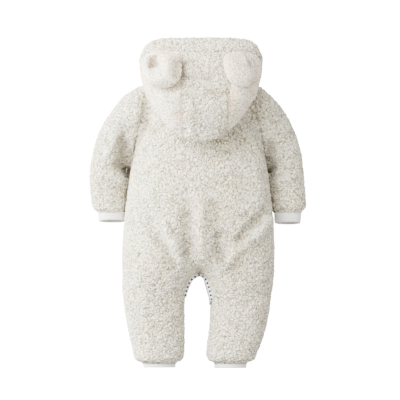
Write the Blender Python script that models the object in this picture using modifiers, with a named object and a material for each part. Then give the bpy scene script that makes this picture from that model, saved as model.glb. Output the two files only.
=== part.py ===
"""Hooded baby romper in curly fleece, with two round ears on the hood.

The garment hangs filled out, as hollow cloth walls at their real size, with the hood laid back. Metres, +Z up.
The origin is the middle of the neck opening at the height where the neck meets the shoulders. The front faces
-Y and the back +Y, so the wearer's left is +X. Sizes below are in millimetres.
"""

import math
from collections import namedtuple

import bpy
import numpy as np

COLLECTION = "animal_onesie"
MM = 0.001
LEFT, RIGHT = 1, -1
BACK, FRONT = 1, -1

# Cloth
FLEECE = 5.5  # the knitted ground and the curly pile that stands on it
EAR_FLEECE = 3.6  # each of an ear's two layers
RIB = 2.2
COTTON = 1.2
SEAM_GAP = 0.3
LAP_GAP = 0.5  # between the two fronts where they lap

# Heights
UNDERARM_Z = -128
SEAT_Z = -298  # below it the middle of the seat curves in to the crotch
CROTCH_Z = -370
HEM_Z = -532  # below it the leg rounds in to its cuff
HEM_END_Z = -547
CUFF_SEAM_Z = -550
HEM_HEIGHTS = (-539, -544, HEM_END_Z, CUFF_SEAM_Z)

# The shoulders and neck
SHOULDER_TIP = (124, 0, 4)
NECK_SIDE = (62, 0, 22)
NECK_DEPTH = {BACK: 52, FRONT: 58}
NECK_DROP = {BACK: 14, FRONT: 46}
ARMHOLE_BEND = (114, 82, -44)  # the armhole's edge and the yoke bulge towards these
YOKE_BEND_Z = -22
ARMHOLE_SPREAD = 0.3
LAP_HALF = 14  # the fronts lap this far to each side of the middle

# How finely the cloth is divided
BACK_COLUMNS = 12
FRONT_COLUMNS = 9
SHOULDER_COLUMNS = 4
YOKE_ROWS = 9
TORSO_ROWS = 16
LEG_ROWS = 11
LEG_ROW_SPREAD = 1.2  # over 1 brings the rows nearer to the crotch
HOOD_ROWS = 17
SQUARENESS = 0.87  # 1 gives the sections the shape of an ellipse, less makes them squarer
SHARP_ANGLE = math.radians(50)
MOST_MITRE = 0.5  # where the cloth bends sharply, its wall is at most 1 / this times as thick

Section = namedtuple("Section", "z left right left_inner right_inner back front")
BODY_SECTIONS = [
    Section(-128, 130, 129, 0, 0, 78, 74),
    Section(-168, 137, 136, 0, 0, 82, 78),
    Section(-210, 143, 141, 0, 0, 86, 81),
    Section(-250, 148, 146, 0, 0, 90, 83),
    Section(-290, 152, 149, 0, 0, 92, 83),
    Section(-330, 154, 150, 0, 0, 90, 80),
    Section(-370, 154, 149, 0, 0, 82, 73),
    Section(-380, 154, 148, 14, 10, 79, 71),
    Section(-396, 154, 147, 21, 13, 75, 68),
    Section(-412, 153, 144, 28, 19, 70, 65),
    Section(-450, 148, 139, 30, 21, 62, 60),
    Section(-490, 141, 130, 30, 18, 56, 56),
    Section(-520, 134, 119, 30, 14, 52, 53),
    Section(-532, 132, 114, 31, 14, 51, 52),
]

# Each station of a sleeve has a point on its outer line and one on its inner line. The inner line runs down close
# to the body, a little forward of its side. Over 1, hollow lets the cloth beside the inner line sink in at the back.
Station = namedtuple("Station", "left_out right_out out_y out_z left_in right_in in_y in_z depth left_hollow right_hollow")
SLEEVE_STATIONS = [
    Station(150, 142, -1, -14, 132, 131, -7, -130.5, 44, 1, 1),
    Station(174, 168, -4, -44, 131.5, 130.5, -16, -135, 42, 2.2, 1.6),
    Station(196, 186, -9, -76, 132, 131, -23, -143, 41, 3.6, 2.5),
    Station(208, 198, -15, -108, 134, 133, -29, -154, 40, 4.2, 3),
    Station(216, 206, -22, -142, 136.5, 135.5, -34, -168, 39, 4, 3),
    Station(220, 209, -28, -172, 138.5, 137, -39, -186, 38, 1.6, 2),
    Station(219, 212, -34, -202, 141.5, 139, -42, -208, 37, 1, 1.3),
    Station(217, 214, -38, -229, 143, 141, -42, -229, 36, 1, 1),
    Station(213, 212, -39, -240, 144.5, 142.5, -40, -240, 34, 1, 1),
]
SLEEVE_END_Z = -245
WRIST_SEAM_Z = -248
CUFF_GRIP = 1.4  # the fleece stands this far outside the rib at the seam

# tilt is how much higher than its middle a cuff's mouth is at the back, and lower at the front.
Cuff = namedtuple("Cuff", "name side x y half_width half_depth top bottom tilt taper rows ribs")
CUFFS = [
    Cuff("sleeve_cuff_left", LEFT, 175, -40, 29, 27, WRIST_SEAM_Z, -265.5, 3, 0.95, 2, 30),
    Cuff("sleeve_cuff_right", RIGHT, 177, -40, 28, 27, WRIST_SEAM_Z, -269.5, 3, 0.95, 2, 30),
    Cuff("leg_cuff_left", LEFT, 80, 0, 33, 38, CUFF_SEAM_Z, -558, 1, 0.98, 1, 32),
    Cuff("leg_cuff_right", RIGHT, 62, 0, 33, 38, CUFF_SEAM_Z, -559, 1, 0.98, 1, 32),
]
RIB_HEIGHT = 0.9

# The hood, from the middle of the back (step 0) to its front end (step 12). Its wall leaves the neck, folds
# back over it, hangs down to the low point of the pouch, and comes up over the back to the rim.
HoodSection = namedtuple("HoodSection", "step rim_x rim_y rim_z back_x back_y back_z low_x low_y low_z")
HOOD_SECTIONS = [
    HoodSection(0, 0, 98, 100, 0, 166, -22, 0, 122, -112),
    HoodSection(2, 42, 98, 100, 38, 164, -22, 34, 121, -102),
    HoodSection(4, 84, 93, 98, 76, 154, -14, 68, 116, -74),
    HoodSection(6, 112, 76, 84, 106, 132, 6, 94, 104, -40),
    HoodSection(8, 122, 46, 52, 120, 92, 28, 108, 76, -4),
    HoodSection(10, 97, -12, 38, 85, -16, 35, 68, -24, 24),
    HoodSection(12, 20, -68, 9, 17.5, -64, -2, 15.5, -60, -12),
]
HOOD_X = -3  # the hood hangs a little to the wearer's right
HOOD_STAND = 14
HOOD_STAND_FRONT = 4
HOOD_BAND = 34
HOOD_BAND_END = 14
GUSSET = (-3, 2)  # the centre strip of the hood runs between these steps, left ones positive

# Soft folds of the cloth, each a line in the back or front view with its half width and its height; a negative
# height is a trough.
Fold = namedtuple("Fold", "face x1 z1 x2 z2 width height")
FOLDS = [
    Fold(BACK, -8, -228, -4, -340, 15, 7),
    Fold(BACK, 18, -250, 18, -330, 12, -7),
    Fold(BACK, -32, -206, -34, -262, 12, -6),
    Fold(BACK, -40, -296, -40, -342, 12, -7),
    Fold(BACK, 70, -272, 32, -350, 13, 8),
    Fold(BACK, 96, -270, 56, -350, 13, -6),
    Fold(BACK, -138, -268, -56, -350, 14, 8),
    Fold(BACK, -122, -250, -76, -304, 12, -6),
    Fold(BACK, 100, -152, 36, -168, 12, -3.5),
    Fold(BACK, 84, -206, 66, -216, 16, 3.5),
    Fold(BACK, -82, -176, -88, -196, 14, -3.5),
    Fold(BACK, -112, -110, -120, -244, 13, 3.5),
    Fold(BACK, 116, -392, 62, -420, 13, -3.5),
    Fold(BACK, -120, -410, -66, -430, 13, -3),
    Fold(BACK, 108, -470, 58, -482, 14, -3),
    Fold(BACK, -96, -486, -42, -476, 14, -3),
    Fold(FRONT, 104, -268, 50, -346, 14, -4.5),
    Fold(FRONT, -112, -262, -52, -344, 14, -4.5),
    Fold(FRONT, 118, -250, 72, -322, 14, 3.5),
    Fold(FRONT, -124, -244, -76, -318, 14, 3.5),
    Fold(FRONT, 98, -150, 40, -172, 13, -3),
    Fold(FRONT, -96, -158, -44, -174, 13, -3),
    Fold(FRONT, 110, -410, 60, -426, 13, -3),
    Fold(FRONT, -104, -404, -52, -424, 13, -3),
    Fold(FRONT, 106, -474, 60, -484, 14, -3),
    Fold(FRONT, -98, -480, -44, -488, 14, -3),
]
HOOD_FOLDS = [
    Fold(BACK, 28, 21, -66, 18, 10, -4),
    Fold(BACK, 8, -10, -62, -12, 10, -4),
    Fold(BACK, 30, -30, 30, -92, 9, -3.5),
    Fold(BACK, -54, 66, -52, -20, 9, -2.5),
    Fold(BACK, 8, -12, 12, -80, 9, 3),
]
SLEEVE_FOLDS = [
    Fold(BACK, 151, -114, 152, -150, 12, -6),
    Fold(BACK, 168, -90, 174, -136, 9, 4),
    Fold(BACK, 172, -154, 138, -176, 9, -7),
    Fold(BACK, 178, -166, 146, -192, 10, 4),
    Fold(BACK, 208, -216, 158, -222, 11, -2.5),
    Fold(BACK, -145, -120, -145, -158, 11, -4),
    Fold(BACK, -160, -110, -162, -150, 10, 3),
    Fold(BACK, -166, -158, -138, -174, 8, -5),
    Fold(BACK, -204, -196, -150, -206, 12, -3),
    Fold(FRONT, 196, -126, 150, -172, 12, -4),
    Fold(FRONT, 208, -180, 152, -200, 12, -3.5),
    Fold(FRONT, 192, -96, 148, -122, 13, 3),
    Fold(FRONT, -190, -130, -148, -172, 12, -4),
    Fold(FRONT, -202, -184, -150, -200, 12, -3.5),
]

# An ear is a two-layered dome with a straight top, where it is sewn on, and a round tip that hangs down. slope, turn
# and lean are how far it follows the hood's slope, turns to the side and swings outwards, in degrees. A fold runs
# down from the top edge, with a sharp side towards the middle of the hood: from and to are its ends, across and up
# from the ear's middle.
Ear = namedtuple(
    "Ear",
    "name side x y z half_width half_height slope turn lean bulge fold fold_width from_x from_z to_x to_z",
)
EARS = [
    Ear("left", LEFT, 78, 170, 31, 40, 35, 30, 14, 0, 29, 20, 14, 9, 42, 13, 14),
    Ear("right", RIGHT, 82, 171.8, 34, 35, 34, 30, 30, 10, 27, 17, 10, 20, 42, 21, 12),
]
EAR_RINGS = 7
EAR_SEGMENTS = 26
EAR_TOP = 0.55  # 1 would give the ear's top half the shape of a circle, less makes it straighter
EAR_ROUND = 0.93  # how near the dome's rim comes to standing upright
EAR_FOLD_EDGE = 0.65  # the sharp side of the fold against its soft side

# The dotted facing lies round the crotch, on the back's inseam edges. Row -1 runs up the middle of the back, row
# 0 round the top of the leg and the others lower on the leg. reach is how far it comes onto the back.
Facing = namedtuple("Facing", "row reach")
FACING = {
    LEFT: [Facing(-1, 14), Facing(0, 22), Facing(1, 27), Facing(2, 28), Facing(3, 22), Facing(4, 10)],
    RIGHT: [Facing(-1, 14), Facing(0, 24), Facing(1, 32), Facing(2, 36), Facing(3, 36), Facing(4, 32), Facing(5, 16)],
}
FACING_LIFT = 1.3
CROTCH_LIFT = 0.7  # the cloth bends both ways there, so the facing stands off a little more
FACING_COLUMNS = 4

SNAPS = 5
SNAP_TOP_Z = -46
SNAP_PITCH = 62
SNAP_RADIUS = 5.5
SNAP_HEIGHT = 2.0
LAP_END_Z = -348

FLEECE_CREAM = (0.80, 0.76, 0.68)
FLEECE_EAR = (0.82, 0.77, 0.69)
RIB_WHITE = (0.80, 0.80, 0.79)
COTTON_WHITE = (0.86, 0.86, 0.84)
SNAP_WHITE = (0.78, 0.76, 0.70)


def column(table, name):
    """One named column of a table."""
    return np.array([getattr(row, name) for row in table], float)


def smooth(at, places, values):
    """The value at a place on a smooth curve through the values at the given places."""
    places, values = np.asarray(places, float), np.asarray(values, float)
    if places[0] > places[-1]:
        places, values = places[::-1], values[::-1]
    slopes = np.gradient(values, places, axis=0)
    i = int(np.clip(np.searchsorted(places, at) - 1, 0, len(places) - 2))
    span = places[i + 1] - places[i]
    t = float(np.clip((at - places[i]) / span, 0, 1))
    start = (1 + 2 * t) * (1 - t) ** 2 * values[i] + t * (1 - t) ** 2 * span * slopes[i]
    end = t * t * (3 - 2 * t) * values[i + 1] - t * t * (1 - t) * span * slopes[i + 1]
    return start + end


def ease(t):
    """A smooth step from 0 to 1."""
    t = min(max(t, 0.0), 1.0)
    return t * t * (3 - 2 * t)


def squared(value):
    """A sine or cosine, pushed outwards so that the section is a little squarer than an ellipse."""
    return math.copysign(abs(value) ** SQUARENESS, value)


class Net:
    """The cloth of pieces that are sewn to each other, on shared points, so that their walls meet at a seam."""

    def __init__(self):
        self.found = {}
        self.points = []
        self.faces = {}

    @staticmethod
    def key(place):
        return tuple(round(float(v), 3) + 0.0 for v in place)

    def point(self, place):
        key = self.key(place)
        if key not in self.found:
            self.found[key] = len(self.points)
            self.points.append(np.array(place, float))
        return self.found[key]

    def grid(self, piece, rows, flip=False):
        """Adds the faces between rows of points. Rows that run down and columns that run to the left of
        someone who looks at the outside face outwards."""
        ids = [[self.point(p) for p in row] for row in rows]
        for upper, lower in zip(ids, ids[1:]):
            for c in range(len(upper) - 1):
                quad = [upper[c], lower[c], lower[c + 1], upper[c + 1]]
                corners = list(dict.fromkeys(quad))
                if len(corners) > 2:
                    self.faces.setdefault(piece, []).append(corners[::-1] if flip else corners)
        return ids

    def normals(self):
        """Each point's outward direction, and how much further a wall is measured along it at a sharp bend."""
        points = np.array(self.points)
        total = np.zeros_like(points)
        flat = []
        for faces in self.faces.values():
            for face in faces:
                a, b, c = points[face[0]], points[face[1]], points[face[2]]
                d = points[face[-1]]
                across = np.cross(c - a, d - b) if len(face) == 4 else np.cross(b - a, c - a)
                total[face] += across
                flat.append((face, across / max(np.linalg.norm(across), 1e-9)))
        unit = total / np.maximum(np.linalg.norm(total, axis=1, keepdims=True), 1e-9)
        least = np.ones(len(points))
        for face, direction in flat:
            for i in face:
                least[i] = min(least[i], float(unit[i] @ direction))
        return unit, 1 / np.maximum(least, MOST_MITRE)

    def relieve(self, height_of):
        """Moves each point along its outward direction by the height that height_of gives."""
        unit, _ = self.normals()
        for i, direction in enumerate(unit):
            self.points[i] = self.points[i] + direction * height_of(self.points[i], direction)

    def wall(self, thickness, lift=0.0):
        """The outer and inner points of a wall of this thickness."""
        unit, further = self.normals()
        outer = np.array(self.points) + unit * (lift * further)[:, None]
        return outer, outer - unit * (thickness * further)[:, None], unit


def halves(face, points):
    """A face as triangles, divided at its shorter diagonal."""
    if len(face) == 3:
        return [face]
    a, b, c, d = face
    if np.linalg.norm(points[a] - points[c]) <= np.linalg.norm(points[b] - points[d]):
        return [[a, b, c], [a, c, d]]
    return [[a, b, d], [b, c, d]]


def closed_wall(name, outer, inner, faces, material, gap=SEAM_GAP):
    """One closed cloth wall between outer and inner points. Its open edges are drawn back by half the seam gap."""
    used = sorted({i for face in faces for i in face})
    local = {i: n for n, i in enumerate(used)}
    top, under = outer[used].copy(), inner[used].copy()
    edges = {}
    for face in faces:
        for a, b in zip(face, face[1:] + face[:1]):
            edges[(a, b)] = face
    rim = [edge for edge in edges if (edge[1], edge[0]) not in edges]
    centres = {}
    for face in faces:
        middle = outer[face].mean(axis=0)
        for i in face:
            centres.setdefault(i, []).append(middle)
    for i in {end for edge in rim for end in edge}:
        n = local[i]
        through = top[n] - under[n]
        through /= np.linalg.norm(through)
        inwards = np.mean(centres[i], axis=0) - top[n]
        inwards -= through * (inwards @ through)
        shift = inwards / np.linalg.norm(inwards) * gap / 2
        top[n] += shift
        under[n] += shift
    count = len(used)
    triangles = []
    for face in faces:
        for corners in halves(face, outer):
            near = [local[i] for i in corners]
            triangles += [near, [count + i for i in reversed(near)]]
    for a, b in rim:
        # both sides of a seam divide it at the same diagonal, so that they stay apart
        up, down = (a, b) if a < b else (b, a)
        triangles.append([local[b], local[a], count + local[down]])
        triangles.append([local[up], count + local[a], count + local[b]])
    return add_object(name, np.vstack([top, under]), triangles, material)


def add_object(name, points, polygons, material):
    """A mesh object from points in millimetres."""
    mesh = bpy.data.meshes.new(name)
    mesh.from_pydata([tuple(p) for p in np.asarray(points) * MM], [], polygons)
    mesh.shade_smooth()
    mesh.set_sharp_from_angle(angle=SHARP_ANGLE)
    mesh.materials.append(material)
    made = bpy.data.objects.new(name, mesh)
    bpy.data.collections[COLLECTION].objects.link(made)
    return made


def principled(name, colour, roughness):
    """A cloth or plastic finish."""
    material = bpy.data.materials.new(name)
    material.use_nodes = True
    shader = material.node_tree.nodes["Principled BSDF"]
    shader.inputs["Base Color"].default_value = (*colour, 1.0)
    shader.inputs["Roughness"].default_value = roughness
    shader.inputs["Metallic"].default_value = 0.0
    return material


# Body and legs


def half_width(side, z):
    return smooth(z, column(BODY_SECTIONS, "z"), column(BODY_SECTIONS, "left" if side == LEFT else "right"))


def inseam_x(side, z):
    """How far the inner line of a leg is from the middle. It is 0 down to the crotch."""
    if z >= CROTCH_Z:
        return 0.0
    name = "left_inner" if side == LEFT else "right_inner"
    rows = [row for row in BODY_SECTIONS if row.z <= CROTCH_Z]
    return smooth(z, column(rows, "z"), column(rows, name))


def half_depth(face, z):
    return smooth(z, column(BODY_SECTIONS, "z"), column(BODY_SECTIONS, "back" if face == BACK else "front"))


def section_point(side, face, share, z):
    """A point of the body's or a leg's section. share runs from 0 at the side seam to 1 at the middle or inseam."""
    drop = min(max((SEAT_Z - z) / (SEAT_Z - CROTCH_Z), 0.0), 1.0)
    last = math.pi / 2 + math.asin(drop)
    end = squared(math.cos(last)) if drop else 0.0
    angle = last * share
    across = (squared(math.cos(angle)) - end) / (1 - end)
    inner = inseam_x(side, z)
    x = inner + (half_width(side, z) - inner) * across
    y = half_depth(face, z) * squared(math.sin(angle)) if 0 < share else 0.0
    if share == 1:
        x = inner
        y = half_depth(face, z) * squared(math.cos(math.asin(drop))) if drop < 1 else 0.0
    return np.array([side * x, face * y, z])


def hem_point(side, face, share, z):
    """A point of the leg where it rounds in from its full width to the cuff."""
    cuff = next(c for c in CUFFS if c.name == ("leg_cuff_left" if side == LEFT else "leg_cuff_right"))
    full = section_point(side, face, share, HEM_Z)
    angle = math.pi * share
    seam = np.array(
        [
            side * (cuff.x + (cuff.half_width + CUFF_GRIP) * math.cos(angle)),
            cuff.y + face * (cuff.half_depth + CUFF_GRIP) * math.sin(angle),
            z,
        ]
    )
    drop = min((HEM_Z - z) / (HEM_Z - HEM_END_Z), 1.0)
    share_in = 1 - math.sqrt(1 - drop * drop)
    placed = full * (1 - share_in) + seam * share_in
    placed[2] = z
    if share in (0, 1):
        placed[1] = 0.0
    return placed


def column_shares(face):
    """Where the columns of a half section lie, from 0 at the side seam to 1 at the middle."""
    if face == BACK:
        return [c / BACK_COLUMNS for c in range(BACK_COLUMNS + 1)]
    lap = 0.96  # the last column but one is the edge of the front lap
    return [lap * c / (FRONT_COLUMNS - 1) for c in range(FRONT_COLUMNS)] + [1.0]


def top_edge(side, face, c):
    """The shoulder seam, from its tip to the neck, and then the neck's edge to the middle."""
    tip, neck = np.array(SHOULDER_TIP, float), np.array(NECK_SIDE, float)
    if c <= SHOULDER_COLUMNS:
        x, y, z = tip + (neck - tip) * c / SHOULDER_COLUMNS
        return np.array([side * x, y, z])
    last = len(column_shares(face)) - 1
    turn = math.pi / 2 * (c - SHOULDER_COLUMNS) / (last - SHOULDER_COLUMNS)
    if face == FRONT and c < last:
        lap_turn = math.acos(LAP_HALF / neck[0])
        turn = lap_turn * (c - SHOULDER_COLUMNS) / (last - 1 - SHOULDER_COLUMNS)
    x = neck[0] * math.cos(turn) if c < last else 0.0
    y = face * NECK_DEPTH[face] * math.sin(turn)
    z = neck[2] - NECK_DROP[face] * math.sin(turn) ** 1.4
    return np.array([side * x, y, z])


def yoke_point(side, face, c, rise):
    """A point above the underarm: rise is 0 there and 1 at the shoulder seam or the neck's edge."""
    share = column_shares(face)[c]
    low = section_point(side, face, share, UNDERARM_Z)
    high = top_edge(side, face, c)
    at_edge = 1 - ease(share / ARMHOLE_SPREAD)
    edge_bend = np.array([side * ARMHOLE_BEND[0], face * ARMHOLE_BEND[1], ARMHOLE_BEND[2]])
    plain_bend = np.array([low[0] * 0.7 + high[0] * 0.3, low[1] * 1.04, YOKE_BEND_Z])
    bend = edge_bend * at_edge + plain_bend * (1 - at_edge)
    return low * (1 - rise) ** 2 + bend * 2 * rise * (1 - rise) + high * rise * rise


def torso_heights():
    return [UNDERARM_Z + (CROTCH_Z - UNDERARM_Z) * r / TORSO_ROWS for r in range(1, TORSO_ROWS + 1)]


def leg_heights():
    """The rows of a leg below the crotch's own, down to where the hem rounds in."""
    return [CROTCH_Z + (HEM_Z - CROTCH_Z) * (r / LEG_ROWS) ** LEG_ROW_SPREAD for r in range(1, LEG_ROWS + 1)]


def torso_rows(side, face):
    """Rows of points from the shoulder and neck down to the crotch, each from the side to the middle."""
    shares = column_shares(face)
    rows = [
        [yoke_point(side, face, c, 1 - r / YOKE_ROWS) for c in range(len(shares))]
        for r in range(YOKE_ROWS + 1)
    ]
    return rows + [[section_point(side, face, share, z) for share in shares] for z in torso_heights()]


def leg_rows(side, face):
    """Rows of points from the crotch down to the cuff's seam, each from the side to the inseam."""
    shares = column_shares(face)
    heights = [CROTCH_Z] + leg_heights()
    rows = [[section_point(side, face, share, z) for share in shares] for z in heights]
    return rows + [[hem_point(side, face, share, z) for share in shares] for z in HEM_HEIGHTS]


# Sleeves


def sleeve_rings(side):
    """Rings from the armhole to the wrist seam, each from the underarm over the back to the shoulder and round."""
    back = [yoke_point(side, BACK, 0, r / YOKE_ROWS) for r in range(YOKE_ROWS + 1)]
    front = [yoke_point(side, FRONT, 0, r / YOKE_ROWS) for r in range(YOKE_ROWS - 1, 0, -1)]
    rings = [back + front]
    count = len(rings[0])
    for s in SLEEVE_STATIONS:
        out_x, in_x = (s.left_out, s.left_in) if side == LEFT else (s.right_out, s.right_in)
        outer = np.array([side * out_x, s.out_y, s.out_z], float)
        inner = np.array([side * in_x, s.in_y, s.in_z], float)
        rings.append(oval(outer, inner, s.depth, count, s.left_hollow if side == LEFT else s.right_hollow))
    cuff = next(c for c in CUFFS if c.name == ("sleeve_cuff_left" if side == LEFT else "sleeve_cuff_right"))
    for z in (SLEEVE_END_Z, WRIST_SEAM_Z):
        width = cuff.half_width + CUFF_GRIP
        outer = np.array([side * (cuff.x + width), cuff.y, z], float)
        inner = np.array([side * (cuff.x - width), cuff.y, z], float)
        rings.append(oval(outer, inner, cuff.half_depth + CUFF_GRIP, count))
    return rings


def oval(outer, inner, depth, count, hollow=1.0):
    """A ring between an inner and an outer point, starting at the inner one and going over the back."""
    middle, half = (outer + inner) / 2, (outer - inner) / 2
    ring = []
    for turn in (2 * math.pi * k / count for k in range(count)):
        rise = math.sin(turn)
        if turn < math.pi / 2:
            rise **= hollow
        ring.append(middle - half * math.cos(turn) + np.array([0, depth * rise, 0]))
    return ring


# Hood


def hood_neck_line(side):
    """The points of the neck's edge from the middle of the back to the front lap."""
    back = [top_edge(side, BACK, c) for c in range(BACK_COLUMNS, SHOULDER_COLUMNS - 1, -1)]
    front = [top_edge(side, FRONT, c) for c in range(SHOULDER_COLUMNS + 1, FRONT_COLUMNS)]
    return back + front


def hood_path(side, step, neck):
    """Points along one line of the hood, from the neck's edge to the rim."""
    steps = column(HOOD_SECTIONS, "step")

    def key(part):
        table = np.stack([column(HOOD_SECTIONS, f"{part}_{axis}") for axis in "xyz"], axis=1)
        x, y, z = smooth(step, steps, table)
        hang = ease((len(steps) * 2 - 2 - step) / 4)  # the sideways hang fades out towards the front ends
        return np.array([side * x + HOOD_X * hang, y, z])

    stand = neck + np.array([0, 0, HOOD_STAND + (HOOD_STAND_FRONT - HOOD_STAND) * ease(step / steps[-1])])
    low, back, rim = key("low"), key("back"), key("rim")
    outwards = ease((steps[-1] - step) / 6)
    under = stand * 0.55 + low * 0.45 + np.array([0, 6, 16]) * outwards
    keys = [neck, stand, under, low, back, rim]
    lengths = np.concatenate([[0], np.cumsum([np.linalg.norm(b - a) for a, b in zip(keys, keys[1:])])])
    fine = [smooth(at, lengths, keys) for at in np.linspace(0, lengths[-1], 90)]
    along = np.concatenate([[0], np.cumsum([np.linalg.norm(b - a) for a, b in zip(fine, fine[1:])])])
    band = HOOD_BAND + (HOOD_BAND_END - HOOD_BAND) * ease(step / steps[-1])
    places = list(np.linspace(0, along[-1] - band, HOOD_ROWS - 1)) + [along[-1] - band / 2, along[-1]]
    path = [np.array([np.interp(at, along, [p[k] for p in fine]) for k in range(3)]) for at in places]
    path[0] = neck
    return path


def hood_lines():
    """The hood's lines of points from the right front end over the back to the left front end."""
    right = [hood_path(RIGHT, step, neck) for step, neck in enumerate(hood_neck_line(RIGHT))]
    left = [hood_path(LEFT, step, neck) for step, neck in enumerate(hood_neck_line(LEFT))]
    return right[::-1] + left[1:]


# Building


def fold_height(folds, point, direction, face_share):
    """The height of the folds at a point, on the side that the direction faces."""
    x, _, z = point
    height = 0.0
    for fold in folds:
        facing = ease(direction[1] * fold.face * face_share)
        if facing <= 0:
            continue
        start, end = np.array([fold.x1, fold.z1], float), np.array([fold.x2, fold.z2], float)
        along = end - start
        t = float(np.clip((np.array([x, z]) - start) @ along / (along @ along), 0, 1))
        away = np.linalg.norm(np.array([x, z]) - start - t * along)
        height += facing * fold.height * math.exp(-((away / fold.width) ** 2))
    return height


def relief(point, direction):
    """The folds of the whole garment."""
    x, y, z = point
    if y > 100:
        return fold_height(HOOD_FOLDS, point, direction, 2)
    if z > -90 and abs(x) < abs(SHOULDER_TIP[0]):
        return 0.0
    if abs(x) > half_width(LEFT if x > 0 else RIGHT, max(z, CROTCH_Z)) + 1:
        return fold_height(SLEEVE_FOLDS, point, direction, 1.5)
    return fold_height(FOLDS, point, direction, 2)


def sew(net):
    """Puts every sewn piece's faces into the net, and returns the point numbers that the front lap needs."""
    fronts = {}
    for side in (LEFT, RIGHT):
        # looking at the outside, the columns run towards the wearer's right on the back and left on the front
        back, front = torso_rows(side, BACK), torso_rows(side, FRONT)
        front_piece = "front_panel_left" if side == LEFT else "front_panel_right"
        net.grid("back_panel", back, flip=side == RIGHT)
        net.grid("back_panel", leg_rows(side, BACK), flip=side == RIGHT)
        net.grid(front_piece, leg_rows(side, FRONT), flip=side == LEFT)
        fronts[side] = net.grid("torso_" + front_piece, front, flip=side == LEFT)
        rings = [ring + ring[:1] for ring in sleeve_rings(side)]
        net.grid("sleeve_left" if side == LEFT else "sleeve_right", rings, flip=side == LEFT)
    lines = hood_lines()
    rows = [list(row) for row in zip(*lines)]
    middle = (len(lines) - 1) // 2
    first, last = middle + GUSSET[0], middle + GUSSET[1]
    panels = [("hood_side_right", 0, first), ("hood_centre", first, last), ("hood_side_left", last, len(lines) - 1)]
    for piece, start, end in panels:
        net.grid(piece, [row[start : end + 1] for row in rows[:HOOD_ROWS - 1]])
    net.grid("hood_band", rows[HOOD_ROWS - 2 :])
    return fronts


def build_sewn_pieces(fleece):
    """The back, fronts, sleeves and hood."""
    net = Net()
    fronts = sew(net)
    net.relieve(relief)
    outer, inner, unit = net.wall(FLEECE)
    torso = {name: net.faces.pop(name) for name in [n for n in net.faces if n.startswith("torso_")]}
    net.faces["front_panel_right"] += torso["torso_front_panel_right"]
    lap_faces, outer, inner = lap_left_front(fronts, outer, inner, unit)
    net.faces["front_panel_left"] += lap_faces
    for name, faces in net.faces.items():
        closed_wall(name, outer, inner, faces, fleece)
    return net, outer, inner, unit


def lap_left_front(fronts, outer, inner, unit):
    """The left front's torso faces. Its edge is lifted over the right front, down to the end of the lap."""
    heights = [yoke_point(LEFT, FRONT, FRONT_COLUMNS, 1 - r / YOKE_ROWS)[2] for r in range(YOKE_ROWS + 1)]
    heights += torso_heights()
    last_lapped = max(r for r, z in enumerate(heights) if z >= LAP_END_Z)
    outer, inner = list(outer), list(inner)
    lift = FLEECE + LAP_GAP

    def lifted(place, direction):
        outer.append(place + direction * lift)
        inner.append(place + direction * LAP_GAP)
        return len(outer) - 1

    left, right = fronts[LEFT], fronts[RIGHT]
    rows, plain = [], []
    for r, (own, other) in enumerate(zip(left, right)):
        plain.append(own[::-1])
        if r > last_lapped:
            continue
        edge, middle, beyond = own[-2], own[-1], other[-2]
        step = outer[edge] * 0.6 + outer[middle] * 0.4
        rows.append(
            [lifted(outer[beyond], unit[beyond]), lifted(outer[middle], unit[middle]), lifted(step, unit[edge])]
            + own[-2::-1]
        )
    faces = []
    for upper, lower in list(zip(rows, rows[1:])) + list(zip(plain[last_lapped:], plain[last_lapped + 1 :])):
        for c in range(len(upper) - 1):
            faces.append([upper[c], lower[c], lower[c + 1], upper[c + 1]])
    return faces, np.array(outer), np.array(inner)


def build_cuffs(rib):
    """The rib-knit cuffs: tubes whose ribs stand out of the outer points."""
    for cuff in CUFFS:
        count = 2 * cuff.ribs
        net = Net()
        rings, inside = [], []
        for r in range(cuff.rows + 1):
            down = r / cuff.rows
            z = cuff.top - SEAM_GAP + (cuff.bottom - cuff.top) * down
            scale = 1 + (cuff.taper - 1) * down
            ring, hollow = [], []
            for k in range(count):
                turn = 2 * math.pi * k / count
                rise = RIB_HEIGHT * (k % 2)
                across, along = math.cos(turn), math.sin(turn)
                for points, extra in ((ring, rise - RIB_HEIGHT), (hollow, -RIB_HEIGHT - RIB)):
                    width, depth = cuff.half_width * scale + extra, cuff.half_depth * scale + extra
                    x, y = cuff.side * cuff.x + width * across, cuff.y + depth * along
                    points.append((x, y, z + cuff.tilt * down * along))
            rings.append(ring + ring[:1])
            inside.extend(hollow)
        ids = net.grid(cuff.name, rings)
        outer = np.array(net.points)
        inner = np.zeros_like(outer)
        order = [i for row in ids for i in row[:-1]]
        inner[order] = np.array(inside)
        closed_wall(cuff.name, outer, inner, net.faces[cuff.name], rib, gap=0.0)


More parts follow.
